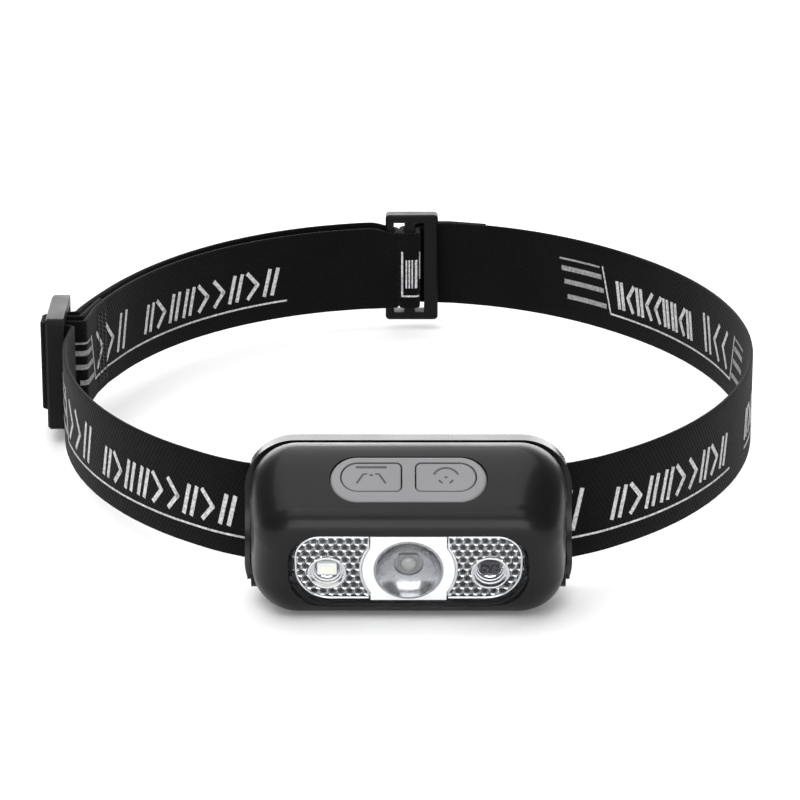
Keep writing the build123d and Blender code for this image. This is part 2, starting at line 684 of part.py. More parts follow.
def bend_radii(points, tight):
    """One radius for each corner: as large as its two runs allow, or the given tight radius."""
    radii = []
    for i in range(1, len(points) - 1):
        a, b, c = (Vector(*points[k]) for k in (i - 1, i, i + 1))
        turn = math.radians((b - a).get_angle(c - b))
        room = 0.45 * min((b - a).length, (c - b).length) / math.tan(turn / 2)
        radii.append(min(room, TIGHT_R if i in tight else SOFT_R))
    return radii


loop_w = CENTRE_BAR[1] + LAYER
loop_u = CENTRE_BAR_W / 2 + LAYER
over_w = loop_w + STRAP_T + 0.1
inner_y = RING_INNER_Y - LAYER
outer_y = RING_OUTER_Y + LAYER
strap_front_y = BRACKET_BACK - PLATE_T - STRAP_T / 2 - 0.15
strap_bar_y = BAR_BACK + STRAP_T / 2 + 0.15

sewn_gap = STRAP_T + 0.1
tail_w = -STRAP_T - 0.15
return_w = tail_w - sewn_gap

beside_slider = (160.5, 165.5)

slider_tail = [on_loop(angle, tail_w) for angle in beside_slider] + [at_slider(loop_u, tail_w)]
slider_loop = [at_slider(loop_u, loop_w), at_slider(-loop_u, loop_w), at_slider(-loop_u, return_w)]
slider_loop += [on_loop(angle, return_w) for angle in reversed(beside_slider)]
return_layer = along_loop(152.0, 97.5, return_w, -2.9)
ring_fold = [(SLOT_1 + LAYER, inner_y), (SLOT_1 + LAYER, outer_y)]
outer_layer = along_loop(97.5, 152.0, 2.15, 0.1) + [on_loop(160.5, 0.3), on_loop(165.5, 0.8)]
slider_bulge = [at_slider(5.2, 0), at_slider(loop_u + 1.1, over_w)]
slider_bulge += [at_slider(-loop_u - 1.1, over_w), at_slider(-5.2, 0)]
left_side = along_loop(182.0, 239.2, 0.0, 0.0)
bracket_way = [(-31.5, strap_bar_y), (-28.6, strap_bar_y), (-24.6, strap_front_y)]
bracket_way += [(-x, y) for x, y in reversed(bracket_way)]
right_side = along_loop(300.8, 442.5, 0.0, 2.15, hold=0.7)
ring_loop = [(SLOT_2 + LAYER, outer_y), (SLOT_2 + LAYER, inner_y), (MIDDLE_BAR - LAYER, inner_y)]
ring_loop += [(MIDDLE_BAR - LAYER, outer_y + sewn_gap), on_loop(82.5, 2.15 + sewn_gap), on_loop(76.0, 2.9)]

runs = (slider_tail, slider_loop, return_layer, ring_fold, outer_layer, slider_bulge)
runs += (left_side, bracket_way, right_side, ring_loop)
tight_runs = (id(slider_tail), id(slider_loop), id(ring_fold), id(slider_bulge), id(ring_loop))
route = []
tight_corners = set()
for run in runs:
    for point in run:
        if id(run) in tight_runs:
            tight_corners.add(len(route))
        route.append(point)

with BuildPart() as headband_strap:
    with BuildSketch(Plane.XY.offset(-STRAP_W / 2)):
        with BuildLine() as strap_line:
            FilletPolyline(*route, radius=bend_radii(route, tight_corners))
        trace(strap_line.line, STRAP_T)
    extrude(amount=STRAP_W)
save(headband_strap.part, "headband_strap")

# ---------------------------------------------------------------- stitching
STITCH_T = 0.25


def stitch_plane(angle, out):
    """The plane on the strap's face at a loop parameter: local X along the strap, normal outward."""
    x, y = on_loop(angle, out)
    c, s = math.cos(math.radians(angle)), math.sin(math.radians(angle))
    normal = Vector(c / LOOP_A, s / LOOP_B, 0).normalized()
    return Plane(origin=(x, y, 0), x_dir=(normal.Y, -normal.X, 0), z_dir=normal)


with BuildPart() as slider_stitching:
    for angle in (161.5, 163.0, 164.5):
        with BuildSketch(stitch_plane(angle, return_w - STRAP_T / 2 + 0.03)):
            Rectangle(0.8, 16.0)
        extrude(amount=-STITCH_T - 0.03)
save(slider_stitching.part, "slider_stitching")

with BuildPart() as ring_stitching:
    for angle in (78.0, 79.7, 81.4):
        with BuildSketch(stitch_plane(angle, 3.45)):
            Rectangle(0.8, 16.0)
        extrude(amount=STITCH_T + 0.1)
save(ring_stitching.part, "ring_stitching")
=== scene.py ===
"""Looks of the headlamp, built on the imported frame. Metres, in the CAD's row frame:
+Z up as worn, the lamp faces -Y, the origin is the centre of the head loop.
"""

import json
import math

import bmesh
import bpy
from mathutils import Matrix, Vector


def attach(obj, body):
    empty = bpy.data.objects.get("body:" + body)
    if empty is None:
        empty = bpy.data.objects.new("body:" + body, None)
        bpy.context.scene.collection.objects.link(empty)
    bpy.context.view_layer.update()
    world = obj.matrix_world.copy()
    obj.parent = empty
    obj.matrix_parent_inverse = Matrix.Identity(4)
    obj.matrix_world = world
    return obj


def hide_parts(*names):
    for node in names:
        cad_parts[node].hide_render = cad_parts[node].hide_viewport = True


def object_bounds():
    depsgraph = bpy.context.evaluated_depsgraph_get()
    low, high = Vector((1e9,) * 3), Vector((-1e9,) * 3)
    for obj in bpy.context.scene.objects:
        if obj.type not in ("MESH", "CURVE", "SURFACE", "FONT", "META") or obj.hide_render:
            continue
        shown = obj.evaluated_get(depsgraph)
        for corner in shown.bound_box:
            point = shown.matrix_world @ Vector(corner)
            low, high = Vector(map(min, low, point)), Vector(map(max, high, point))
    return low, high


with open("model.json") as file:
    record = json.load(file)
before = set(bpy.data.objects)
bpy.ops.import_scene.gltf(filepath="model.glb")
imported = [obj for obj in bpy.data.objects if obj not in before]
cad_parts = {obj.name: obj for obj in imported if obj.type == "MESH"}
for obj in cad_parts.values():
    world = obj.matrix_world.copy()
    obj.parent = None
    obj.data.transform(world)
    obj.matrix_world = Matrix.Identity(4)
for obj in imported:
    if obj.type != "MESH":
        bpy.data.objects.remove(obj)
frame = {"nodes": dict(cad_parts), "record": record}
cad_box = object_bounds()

MM = 0.001
scene = bpy.context.scene
nodes = frame["nodes"]


# ================================================================ helpers
def socket(node, key):
    """A node's input by its number, or by its name with _ for each space."""
    return node.inputs[key] if isinstance(key, int) else node.inputs[key.replace("_", " ")]


class Shader:
    """A material's node tree with short ways to add to it."""

    def __init__(self, name, **constants):
        self.mat = bpy.data.materials.new(name)
        self.mat.use_nodes = True
        self.tree = self.mat.node_tree
        self.tree.nodes.clear()
        self.out = self.tree.nodes.new("ShaderNodeOutputMaterial")
        self.bsdf = self.add("BsdfPrincipled", **constants)
        self.tree.links.new(self.bsdf.outputs[0], self.out.inputs[0])

    def add(self, kind, settings=(), **inputs):
        node = self.tree.nodes.new("ShaderNode" + kind)
        for key, value in dict(settings).items():
            setattr(node, key, value)
        for key, value in inputs.items():
            self.put(socket(node, key), value)
        return node

    def put(self, target, value):
        if isinstance(value, bpy.types.NodeSocket):
            self.tree.links.new(value, target)
        else:
            target.default_value = value

    def math(self, operation, *values):
        node = self.add("Math", {"operation": operation})
        for i, value in enumerate(values):
            self.put(node.inputs[i], value)
        return node.outputs[0]

    def noise(self, scale, detail=3.0, vector=None, roughness=0.55):
        if vector is None:
            vector = self.place()
        node = self.add("TexNoise", Vector=vector, Scale=scale, Detail=detail, Roughness=roughness)
        return node.outputs["Fac"]

    def place(self):
        return self.add("TexCoord").outputs["Object"]

    def span(self, value, low, high, from_low=0.35, from_high=0.65):
        """value brought from its own range to low..high."""
        node = self.add("MapRange", Value=value)
        node.inputs["From Min"].default_value = from_low
        node.inputs["From Max"].default_value = from_high
        node.inputs["To Min"].default_value = low
        node.inputs["To Max"].default_value = high
        return node.outputs[0]

    def mix_colour(self, factor, a, b):
        node = self.add("Mix", {"data_type": "RGBA"})
        self.put(node.inputs["Factor"], factor)
        for key, value in ((6, a), (7, b)):
            if not isinstance(value, bpy.types.NodeSocket):
                value = (*value, 1.0)
            self.put(node.inputs[key], value)
        return node.outputs[2]

    def bump(self, height, distance, strength=1.0, below=None):
        node = self.add("Bump", Height=height, Distance=distance, Strength=strength)
        if below is not None:
            self.put(node.inputs["Normal"], below)
        return node.outputs[0]

    def base(self, value):
        self.put(self.bsdf.inputs["Base Color"], value)

    def rough(self, value):
        self.put(self.bsdf.inputs["Roughness"], value)

    def normal(self, value):
        self.put(self.bsdf.inputs["Normal"], value)


def moulded(name, colour, spread, rough, grain_scale, grain_height, **constants):
    """A moulded plastic or rubber: colour that drifts a little, smudges in its gloss, a fine grain."""
    s = Shader(name, **constants)
    drift = s.noise(45.0, 4.0)
    dark = tuple(c * (1 - spread) for c in colour)
    pale = tuple(c * (1 + spread) for c in colour)
    s.base(s.mix_colour(s.span(drift, 0.0, 1.0), dark, pale))
    smudge = s.noise(110.0, 5.0)
    s.rough(s.span(smudge, *rough))
    grain = s.noise(grain_scale, 2.0)
    s.normal(s.bump(grain, grain_height))
    return s.mat


def new_mesh(name, verts, faces, material, smooth_angle=None):
    """An object with a closed mesh, its faces turned outward, shaded smooth below smooth_angle."""
    mesh = bpy.data.meshes.new(name)
    mesh.from_pydata([tuple(v) for v in verts], [], faces)
    obj = bpy.data.objects.new(name, mesh)
    scene.collection.objects.link(obj)
    mesh.materials.append(material)
    tidy_mesh(mesh, smooth_angle)
    return obj


def tidy_mesh(mesh, smooth_angle):
    """Turns the faces outward and shades edges below smooth_angle degrees smooth; None shades all flat."""
    bm = bmesh.new()
    bm.from_mesh(mesh)
    bmesh.ops.recalc_face_normals(bm, faces=bm.faces)
    for face in bm.faces:
        face.smooth = smooth_angle is not None
    if smooth_angle is not None:
        limit = math.radians(smooth_angle)
        for edge in bm.edges:
            edge.smooth = len(edge.link_faces) == 2 and edge.calc_face_angle(0.0) < limit
    bm.to_mesh(mesh)
    bm.free()


def plane_matrix(origin, y_dir, z_dir):
    """The matrix of a plane whose local X is the row's +X."""
    rows = [(1, 0, 0, origin[0])]
    rows.append((0, y_dir[1], z_dir[1], origin[1]))
    rows.append((0, y_dir[2], z_dir[2], origin[2]))
    rows.append((0, 0, 0, 1))
    return Matrix(rows)


FACE_TILT = math.radians(14.3)
FACE_CENTRE = (0, -99.6 * MM, -5.25 * MM)
SLOPE_ANGLE = math.radians(34.3)
SLOPE_CENTRE = (0, -94.3 * MM, 12.1 * MM)
FACE = plane_matrix(
    FACE_CENTRE,
    (0, -math.sin(FACE_TILT), math.cos(FACE_TILT)),
    (0, -math.cos(FACE_TILT), -math.sin(FACE_TILT)),
)
SLOPE = plane_matrix(
    SLOPE_CENTRE,
    (0, math.cos(SLOPE_ANGLE), math.sin(SLOPE_ANGLE)),
    (0, -math.sin(SLOPE_ANGLE), math.cos(SLOPE_ANGLE)),
)


class Solids:
    """Collects closed solids, in millimetres of one plane, for one piece."""

    def __init__(self, plane):
        self.plane = plane
        self.verts = []
        self.faces = []

    def point(self, x, y, z):
        self.verts.append(self.plane @ Vector((x * MM, y * MM, z * MM)))
        return len(self.verts) - 1

    def skin(self, loops, closed=False):
        """Walls between loops of equal counts, capped at both ends, or joined end to start if closed."""
        pairs = list(zip(loops, loops[1:]))
        if closed:
            pairs.append((loops[-1], loops[0]))
        else:
            self.faces += [tuple(reversed(loops[0])), tuple(loops[-1])]
        for a, b in pairs:
            for i in range(len(a)):
                j = (i + 1) % len(a)
                self.faces.append((a[i], a[j], b[j], b[i]))

    def rings(self, outlines):
        """A solid through closed outlines of equal counts."""
        self.skin([[self.point(*p) for p in outline] for outline in outlines])

    def lathe(self, profile, centre, count=48, closed=False):
        """A solid of revolution about the plane's Z through centre; profile is (radius, z).

        closed joins the profile's end to its start, for a ring.
        """
        loops = []
        for radius, z in profile:
            loop = []
            for i in range(count):
                a = 2 * math.pi * i / count
                loop.append(self.point(centre[0] + radius * math.cos(a), centre[1] + radius * math.sin(a), z))
            loops.append(loop)
        self.skin(loops, closed)

    def tube(self, points, radius, sides=8, closed=False):
        """A round thread or bead along points of the plane, in millimetres."""
        path = [Vector(p) for p in points]
        last = len(path) - 1
        loops = []
        for i, p in enumerate(path):
            before = path[i - 1] if i or closed else path[0]
            after = path[(i + 1) % len(path)] if i < last or closed else path[last]
            along = (after - before).normalized()
            side = along.cross(Vector((0, 0, 1)))
            if side.length < 1e-6:
                side = Vector((1, 0, 0))
            side.normalize()
            up = side.cross(along)
            loop = []
            for k in range(sides):
                a = 2 * math.pi * k / sides
                q = p + side * radius * math.cos(a) + up * radius * math.sin(a)
                loop.append(self.point(*q))
            loops.append(loop)
        self.skin(loops, closed)

    def build(self, name, material, smooth_angle=40):
        return new_mesh(name, self.verts, self.faces, material, smooth_angle)


def rounded_box(half_x, half_y, corner, centre=(0, 0), segments=5):
    """The outline of a rectangle with round corners, as (x, y) points."""
    points = []
    for k, (sx, sy) in enumerate(((1, 1), (-1, 1), (-1, -1), (1, -1))):
        for i in range(segments + 1):
            a = math.radians(90 * (k + i / segments))
            points.append((
                centre[0] + sx * (half_x - corner) + corner * math.cos(a),
                centre[1] + sy * (half_y - corner) + corner * math.sin(a),
            ))
    return points


def bevelled(outline_at, z_low, z_high, bevel):
    """Outlines for Solids.rings: a straight wall with a rounded upper edge. outline_at takes an inset."""
    levels = [(0.0, z_low), (0.0, z_high - bevel), (0.3 * bevel, z_high - 0.3 * bevel), (bevel, z_high)]
    return [[(x, y, z) for x, y in outline_at(inset)] for inset, z in levels]


# ================================================================ materials
UNIT_FRONT = -1.9  # front of the reflectors, below the face plane
HEX_PITCH = 1.7
HEX_DEPTH = 0.42
RIDGE_Z = UNIT_FRONT - 0.22
HEX_SHADE_FULL = 0.8  # shares of a dimple's depth at which its painted shade is full and at which it starts
HEX_SHADE_NONE = 0.1
RIB_PITCH = 0.78 * MM
PICK_PITCH = 1.05 * MM


def strap_material():
    """Black elastic webbing: close ribs crossed by picks, a matt bloom, a few paler fibres, and painted shade
    in the grooves of the weave.
    """
    s = Shader(
        "strap_webbing", Roughness=0.78, Sheen_Weight=0.04, Sheen_Roughness=0.5, Specular_IOR_Level=0.06,
    )
    uv = s.add("UVMap", {"uv_map": "weave"}).outputs[0]
    split = s.add("SeparateXYZ", Vector=uv)
    along, across = split.outputs[0], split.outputs[1]
    rib = s.math("SINE", s.math("MULTIPLY", across, 2 * math.pi / RIB_PITCH))
    column = s.math("FLOOR", s.math("DIVIDE", across, RIB_PITCH))
    shift = s.math("MULTIPLY", s.math("MODULO", column, 2.0), 0.5)
    turns = s.math("ADD", s.math("DIVIDE", along, PICK_PITCH), shift)
    pick = s.math("SINE", s.math("MULTIPLY", turns, 2 * math.pi))
    height = s.math("ADD", s.math("MULTIPLY", s.math("ABSOLUTE", rib), 0.6), s.math("MULTIPLY", pick, 0.4))
    fuzz = s.noise(3200.0, 3.0)
    height = s.math("ADD", height, s.math("MULTIPLY", fuzz, 0.5))
    s.normal(s.bump(height, 0.00009))
    lit = s.math("MULTIPLY", s.span(s.noise(60.0, 4.0), 0.35, 0.65), s.span(fuzz, 0.6, 1.4))
    # partly painted shade: the colour is darker where the weave is low, in the grooves between ribs and
    # picks; the rest is mottling and paler fibres
    share = s.math("ADD", lit, s.math("MULTIPLY", height, 0.18))
    s.base(s.mix_colour(share, (0.0006, 0.0006, 0.0007), (0.0034, 0.0034, 0.0036)))
    return s.mat


def thread_material(name, dark, pale, **constants):
    """Twisted thread: fine slanted plies along it."""
    s = Shader(name, Roughness=0.6, Sheen_Weight=0.2, **constants)
    ply = s.noise(5200.0, 2.0)
    s.base(s.mix_colour(s.span(ply, 0.0, 1.0), dark, pale))
    s.normal(s.bump(ply, 0.00006))
    return s.mat


def print_material(name, dark, pale):
    """Pale ink laid on the webbing, broken up by the weave under it."""
    s = Shader(name, Roughness=0.7, Specular_IOR_Level=0.2)
    uv = s.add("UVMap", {"uv_map": "weave"}).outputs[0]
    weave = s.noise(1500.0, 3.0, uv)
    s.base(s.mix_colour(s.span(weave, 0.0, 1.0), dark, pale))
    s.normal(s.bump(weave, 0.00005))
    return s.mat


def lens_material():
    """Clear polycarbonate that doesn't bend what is behind it: its reflection lies over what it passes."""
    s = Shader("clear_lens")
    s.tree.nodes.remove(s.bsdf)
    haze = s.noise(400.0, 3.0)
    clear = s.add("BsdfTransparent", Color=(0.97, 0.975, 0.98, 1))
    gloss = s.add("BsdfGlossy", Color=(1, 1, 1, 1))
    s.put(gloss.inputs["Roughness"], s.span(haze, 0.02, 0.05))
    outside = s.math("SUBTRACT", 1.0, s.add("NewGeometry").outputs["Backfacing"])
    share = s.math("MULTIPLY", s.add("Fresnel", IOR=1.3).outputs[0], outside)
    mix = s.add("MixShader")
    s.put(mix.inputs[0], share)
    s.tree.links.new(clear.outputs[0], mix.inputs[1])
    s.tree.links.new(gloss.outputs[0], mix.inputs[2])
    s.tree.links.new(mix.outputs[0], s.out.inputs[0])
    return s.mat


def mirror_material(name, tone, rough, peel):
    """Vacuum-metallised plastic: bright, with a little orange peel."""
    s = Shader(name, Metallic=1.0)
    drift = s.noise(300.0, 3.0)
    s.base(s.mix_colour(s.span(drift, 0.0, 1.0), tuple(c * 0.94 for c in tone), tone))
    s.rough(s.span(s.noise(900.0, 3.0), *rough))
    s.normal(s.bump(s.noise(700.0, 2.0), peel))
    return s.mat


def honeycomb_material():
    """Metallised dimples with painted shade: the colour is bright on the ridges between them and dark towards
    the bottom of each.
    """
    s = Shader("honeycomb_chrome_painted_shade", Metallic=1.0)
    height = s.add("VectorMath", {"operation": "DOT_PRODUCT"})
    s.put(height.inputs[0], s.place())
    height.inputs[1].default_value = FACE.to_3x3().col[2]
    ridge = FACE.translation.dot(FACE.to_3x3().col[2]) + RIDGE_Z * MM
    dark, bright = ridge - HEX_SHADE_FULL * HEX_DEPTH * MM, ridge - HEX_SHADE_NONE * HEX_DEPTH * MM
    share = s.span(height.outputs["Value"], 0.0, 1.0, dark, bright)
    # painted shade: the metal's colour goes from bright near the ridges to dark at the bottom of each dimple
    s.base(s.mix_colour(share, (0.04, 0.04, 0.042), (0.60, 0.60, 0.61)))
    s.rough(s.span(s.noise(900.0, 3.0), 0.12, 0.22))
    s.normal(s.bump(s.noise(700.0, 2.0), 0.00002))
    return s.mat


def brushed_steel():
    """Steel with fine lines drawn one way."""
    s = Shader("steel", Metallic=1.0)
    stretched = s.add("Mapping", Vector=s.place(), Scale=(1.0, 1.0, 12.0))
    lines = s.noise(900.0, 4.0, stretched.outputs[0])
    s.base(s.mix_colour(lines, (0.42, 0.42, 0.43), (0.62, 0.62, 0.63)))
    s.rough(s.span(lines, 0.25, 0.42))
    s.normal(s.bump(lines, 0.00001))
    return s.mat


def board_material():
    """Solder mask over copper tracks."""
    s = Shader("circuit_board", Roughness=0.35)
    tracks = s.add("TexBrick", Vector=s.place(), Scale=420.0)
    tracks.inputs["Mortar Size"].default_value = 0.035
    s.base(s.mix_colour(tracks.outputs["Fac"], (0.015, 0.12, 0.045), (0.05, 0.24, 0.09)))
    s.normal(s.bump(tracks.outputs["Fac"], 0.00003))
    return s.mat


FINISHES = {
    "housing_plastic": moulded(
        "housing_plastic", (0.0044, 0.0045, 0.0048), 0.12, (0.32, 0.40), 5200.0, 0.000012,
        Specular_IOR_Level=0.16, Coat_Weight=0.10, Coat_Roughness=0.12,
    ),
    "bracket_plastic": moulded(
        "bracket_plastic", (0.0060, 0.0061, 0.0066), 0.12, (0.2, 0.3), 4800.0, 0.000012,
        Specular_IOR_Level=0.2, Coat_Weight=0.06, Coat_Roughness=0.1,
    ),
    "buckle_plastic": moulded(
        "buckle_plastic", (0.004, 0.004, 0.0043), 0.2, (0.36, 0.48), 3600.0, 0.00004, Specular_IOR_Level=0.1,
    ),
    "key_silicone": moulded(
        "key_silicone", (0.175, 0.175, 0.18), 0.03, (0.5, 0.6), 6000.0, 0.000012, Sheen_Weight=0.08,
    ),
    "seal_rubber": moulded("seal_rubber", (0.010, 0.010, 0.010), 0.15, (0.6, 0.72), 4200.0, 0.00002),
    "clear_lens": lens_material(),
    "white_trim": moulded("white_trim", (0.9, 0.9, 0.905), 0.015, (0.25, 0.36), 3600.0, 0.000008),
    "mirror_chrome": mirror_material("mirror_chrome", (0.80, 0.80, 0.82), (0.05, 0.11), 0.000012),
    "led_ceramic": moulded("led_ceramic", (0.84, 0.84, 0.82), 0.03, (0.35, 0.5), 5200.0, 0.00001),
    "sensor_dark": moulded("sensor_dark", (0.012, 0.009, 0.012), 0.2, (0.08, 0.14), 2600.0, 0.000004),
    "circuit_board": board_material(),
    "battery_wrap": moulded(
        "battery_wrap", (0.46, 0.48, 0.50), 0.06, (0.25, 0.4), 1400.0, 0.00004, Metallic=0.8,
    ),
    "foam": moulded("foam", (0.03, 0.03, 0.03), 0.3, (0.85, 0.95), 2600.0, 0.0002),
    "steel": brushed_steel(),
    "switch_black": moulded("switch_black", (0.02, 0.02, 0.02), 0.15, (0.45, 0.6), 4200.0, 0.00002),
    "wire_red": moulded("wire_red", (0.35, 0.02, 0.02), 0.1, (0.35, 0.45), 2600.0, 0.00001),
}
webbing = strap_material()
thread = thread_material("stitch_thread", (0.008, 0.008, 0.009), (0.035, 0.035, 0.037))
FINISHES["strap_webbing"] = webbing
FINISHES["stitch_thread"] = thread

board_grey = moulded("metal_core_board", (0.30, 0.30, 0.30), 0.06, (0.3, 0.45), 2600.0, 0.00001, Metallic=0.4)
bowl_chrome = mirror_material("bowl_chrome", (0.42, 0.42, 0.435), (0.18, 0.28), 0.00003)
OWN_FINISH = {"led_board": board_grey, "main_reflector": bowl_chrome}

for subpart in frame["record"]["subparts"]:
    node = nodes[subpart["node"]]
    finish = OWN_FINISH.get(subpart["node"], FINISHES[subpart["material_slot"]])
    if node.material_slots:
        for place in node.material_slots:
            place.material = finish
    else:
        node.data.materials.append(finish)


# ================================================================ strap route, millimetres, seen from above
LOOP_A = 74.1
LOOP_B = 87.8
STRAP_T = 1.0
SLIDER_Y = 14.0
SLIDER_X = -LOOP_A * math.sqrt(1 - (SLIDER_Y / LOOP_B) ** 2)
LAYER = 0.65  # from a bar's face to the middle of the strap that wraps it
SEWN = STRAP_T + 0.1  # from layer to layer where the strap is sewn to itself
SLOT_1 = -3.1  # left edges of the ring's first slot, middle bar and second slot
MIDDLE_BAR = -0.6
SLOT_2 = 1.9
RING_IN = 84.7 - LAYER  # the strap's middle line inside and outside the ring's bars
RING_OUT = 88.6 + LAYER
BAR_WAY_Y = -79.05  # middle line behind the bracket's outer bars
PLATE_WAY_Y = -80.05  # middle line in front of its plate
LOOP_W = 5.2 + LAYER  # around the slider's middle bar
LOOP_U = 1.2 + LAYER
OVER_W = LOOP_W + STRAP_T + 0.1
TAIL_W = -STRAP_T - 0.15
RETURN_W = TAIL_W - SEWN
LOOP_STEP = 9.0
TIGHT_R = 0.9
SOFT_R = 500.0
CORNER_SHARE = 0.45  # of the shorter leg beside a corner that its rounding may take up
CORNER_STEP = 9  # degrees
BESIDE_SLIDER = (160.5, 165.5)  # places on the loop, in degrees from +X
SLIDER_NEAR = 152.0
RING_NEAR = 97.5
PAST_RING = (82.5, 76.0)
LEFT_SIDE = (182.0, 239.2)
RIGHT_SIDE = (300.8, 442.5)
RING_OFF = 2.15  # how far the outer layer stands off the loop at the ring
HEM_OFF = 2.9  # how far the inner layer stands inside the loop there, and the sewn end outside it
BULGE_U = 5.2  # from the slider's middle to where the strap leaves the loop to cross it
BULGE_SPREAD = 1.1


def on_loop(angle, out):
    """The point at an angle of the loop's ellipse, moved outward by out."""
    c, s = math.cos(math.radians(angle)), math.sin(math.radians(angle))
    normal = Vector((c / LOOP_A, s / LOOP_B)).normalized()
    return (LOOP_A * c + out * normal.x, LOOP_B * s + out * normal.y)


def along_loop(start, end, out_start, out_end, hold=0.0):
    """Points from one angle to another; hold is the share of the way that keeps the first offset."""
    count = max(2, round(abs(end - start) / LOOP_STEP))
    points = []
    for i in range(count + 1):
        part = i / count
        after = max(0.0, (part - hold) / (1 - hold))
        ease = after * after * (3 - 2 * after)
        points.append(on_loop(start + (end - start) * part, out_start + (out_end - out_start) * ease))
    return points


def at_slider(u, w):
    """u rearward along the strap, w outward."""
    return (SLIDER_X - w, SLIDER_Y + u)


BRACKET_WAY = [(-31.5, BAR_WAY_Y), (-28.6, BAR_WAY_Y), (-24.6, PLATE_WAY_Y)]
runs = {
    "slider_tail": [on_loop(a, TAIL_W) for a in BESIDE_SLIDER] + [at_slider(LOOP_U, TAIL_W)],
    "slider_loop": [at_slider(LOOP_U, LOOP_W), at_slider(-LOOP_U, LOOP_W), at_slider(-LOOP_U, RETURN_W)],
    "beside_slider": [on_loop(a, RETURN_W) for a in reversed(BESIDE_SLIDER)],
    "return_layer": along_loop(SLIDER_NEAR, RING_NEAR, RETURN_W, -HEM_OFF),
    "ring_fold": [(SLOT_1 + LAYER, RING_IN), (SLOT_1 + LAYER, RING_OUT)],
    "outer_layer": along_loop(RING_NEAR, SLIDER_NEAR, RING_OFF, 0.1) + [
        on_loop(a, out) for a, out in zip(BESIDE_SLIDER, (0.3, 0.8))
    ],
    "slider_bulge": [
        at_slider(BULGE_U, 0), at_slider(LOOP_U + BULGE_SPREAD, OVER_W),
        at_slider(-LOOP_U - BULGE_SPREAD, OVER_W), at_slider(-BULGE_U, 0),
    ],
    "left_side": along_loop(*LEFT_SIDE, 0.0, 0.0),
    "bracket_way": BRACKET_WAY + [(-x, y) for x, y in reversed(BRACKET_WAY)],
    "right_side": along_loop(*RIGHT_SIDE, 0.0, RING_OFF, hold=0.7),
    "ring_loop": [
        (SLOT_2 + LAYER, RING_OUT), (SLOT_2 + LAYER, RING_IN), (MIDDLE_BAR - LAYER, RING_IN),
        (MIDDLE_BAR - LAYER, RING_OUT + SEWN),
        on_loop(PAST_RING[0], RING_OFF + SEWN), on_loop(PAST_RING[1], HEM_OFF),
    ],
}
TIGHT_RUNS = ("slider_tail", "slider_loop", "beside_slider", "ring_fold", "slider_bulge", "ring_loop")


def rounded_route(named_runs):
    """The strap's middle line with every corner rounded.

    Returns its points in millimetres, the length up to each, and where along it each run starts and ends.
    """
    corners = []
    for name, points in named_runs.items():
        corners += [(Vector(p), TIGHT_R if name in TIGHT_RUNS else SOFT_R, name) for p in points]
    line = [corners[0][0]]
    marks = {}
    for (a, _, _), (b, limit, name), (c, _, _) in zip(corners, corners[1:], corners[2:]):
        into, out = (b - a).normalized(), (c - b).normalized()
        turn = math.acos(max(-1.0, min(1.0, into.dot(out))))
        radius = min(CORNER_SHARE * min((b - a).length, (c - b).length) / math.tan(turn / 2), limit)
        back = radius * math.tan(turn / 2)
        left = 1 if into.cross(out) > 0 else -1
        start = b - into * back
        centre = start + Vector((-into.y, into.x)) * radius * left
        steps = max(3, math.ceil(math.degrees(turn) / CORNER_STEP))
        for i in range(steps + 1):
            spin = Matrix.Rotation(left * turn * i / steps, 2)
            line.append(centre + spin @ (start - centre))
        marks.setdefault(name, []).append(len(line) - steps // 2 - 1)
    line.append(corners[-1][0])
    lengths = [0.0]
    for a, b in zip(line, line[1:]):
        lengths.append(lengths[-1] + (b - a).length)
    return line, lengths, {name: (lengths[found[0]], lengths[found[-1]]) for name, found in marks.items()}


strap_line, strap_at, run_at = rounded_route(runs)
STRAP_LENGTH = strap_at[-1]


def strap_frame(s):
    """The point and outward normal of the strap's middle line, s millimetres from its first end."""
    s = min(max(s, 0.0), STRAP_LENGTH)
    low, high = 0, len(strap_at) - 1
    while high - low > 1:
        middle = (low + high) // 2
        if strap_at[middle] <= s:
            low = middle
        else:
            high = middle
    part = (s - strap_at[low]) / max(strap_at[high] - strap_at[low], 1e-9)
    point = strap_line[low].lerp(strap_line[high], part)
    return point, normal_at(low).lerp(normal_at(high), part).normalized()


def normal_at(i):
    """The strap's normal at a point of its line: to the right of the way it runs."""
    before = strap_line[max(i - 1, 0)]
    after = strap_line[min(i + 1, len(strap_line) - 1)]
    along = (after - before).normalized()
    return Vector((along.y, -along.x))


# ================================================================ strap
HALF_W = 10.0
HALF_T = 0.48
EDGE_R = 0.32
NARROW = 0.93  # the webbing bunches to this share of its width in the ring
SWELL = 0.12  # grows this much thicker on each side there
SAG = 0.5  # and sits this much lower
NARROW_REACH = 6.0
STRAP_STEP = 2.0
SECTION_COLUMNS = (-1.0, -0.75, -0.4, 0.0, 0.4, 0.75, 1.0)
SECTION_ANGLES = (30, 60, 90, 120, 150)
RING_WRAP = 14.0

# the spans where the strap is bunched: through the first slot, and around the middle bar to past the ring
RING_SPANS = (run_at["ring_fold"], (run_at["ring_loop"][0], run_at["ring_loop"][0] + RING_WRAP))


def bunching(s):
    """How far the strap is bunched at s, from 0 on its free runs to 1 where it wraps the ring."""
    nearest = min(max(start - s, s - end, 0.0) for start, end in RING_SPANS)
    part = min(nearest / NARROW_REACH, 1.0)
    return 1.0 - part * part * (3 - 2 * part)


